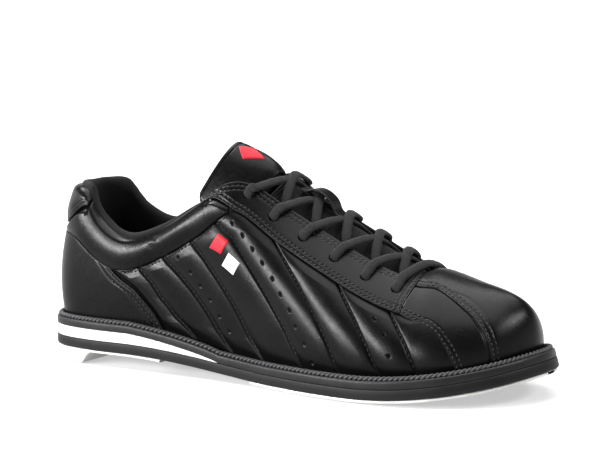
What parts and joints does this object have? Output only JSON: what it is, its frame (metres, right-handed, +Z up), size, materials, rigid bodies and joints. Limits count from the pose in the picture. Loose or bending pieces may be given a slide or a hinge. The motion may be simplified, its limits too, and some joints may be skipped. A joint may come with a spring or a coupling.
{
  "type": "bowling shoe",
  "caption": "Black leather lace-up bowling shoe for the right foot, with a smooth white slide sole, white heel block and wedge, quilted sides, padded collar and laced tongue.",
  "frame": {"origin": "on the floor, under the middle of the sole's bounding box", "axes": "+X to the toe, +Y to the inner (medial) side of the right foot, +Z up"},
  "size_m": [0.302, 0.1079, 0.126],
  "materials": {
    "rubber": "matte black rubber",
    "white_sole": "off-white, fine grained",
    "welt": "dark grey, satin",
    "thread": "twisted grey thread",
    "board": "pressed fibre board",
    "cloth": "black knitted lining",
    "leather": "black smooth leather, semi-gloss",
    "padded_leather": "black smooth leather over foam",
    "mesh_cloth": "charcoal ribbed mesh",
    "lace": "charcoal braid",
    "plastic": "black film",
    "mark_red": "red embroidery",
    "mark_white": "white embroidery"
  },
  "bodies": {
    "shoe": {"outsole": "rubber", "wedge": "white_sole", "welt": "welt", "welt_bead": "thread", "insole_board": "board", "sockliner": "cloth", "heel_block": "white_sole", "slide_sole": "white_sole", "quarter_lateral": "leather", "quarter_medial": "leather", "vamp_side_lateral": "leather", "vamp_side_medial": "leather", "collar_lateral": "padded_leather", "collar_medial": "padded_leather", "heel_counter": "leather", "heel_tab": "padded_leather", "toe_cap": "leather", "toe_puff": "board", "vamp_lining": "cloth", "collar_lining": "cloth", "heel_stiffener": "board", "eyestay_lateral": "leather", "eyestay_medial": "leather", "tongue_lower": "mesh_cloth", "lace_keeper": "leather", "lace": "lace", "aglet_lateral": "plastic", "aglet_medial": "plastic", "mark_red_lateral": "mark_red", "mark_red_medial": "mark_red", "mark_white_lateral": "mark_white", "mark_white_medial": "mark_white"},
    "tongue_flap": {"tongue_top": "leather", "tongue_top_lining": "cloth", "tongue_mark_red": "mark_red", "tongue_mark_white": "mark_white"}
  },
  "joints": [
    {"name": "tongue_flap_hinge", "type": "hinge", "parent": "shoe", "child": "tongue_flap", "pos_m": [-0.0085, 0, 0.108], "axis": [0, 1, 0], "range_deg": [-18, 20], "stiffness_Nm_per_rad": 0.1}
  ]
}
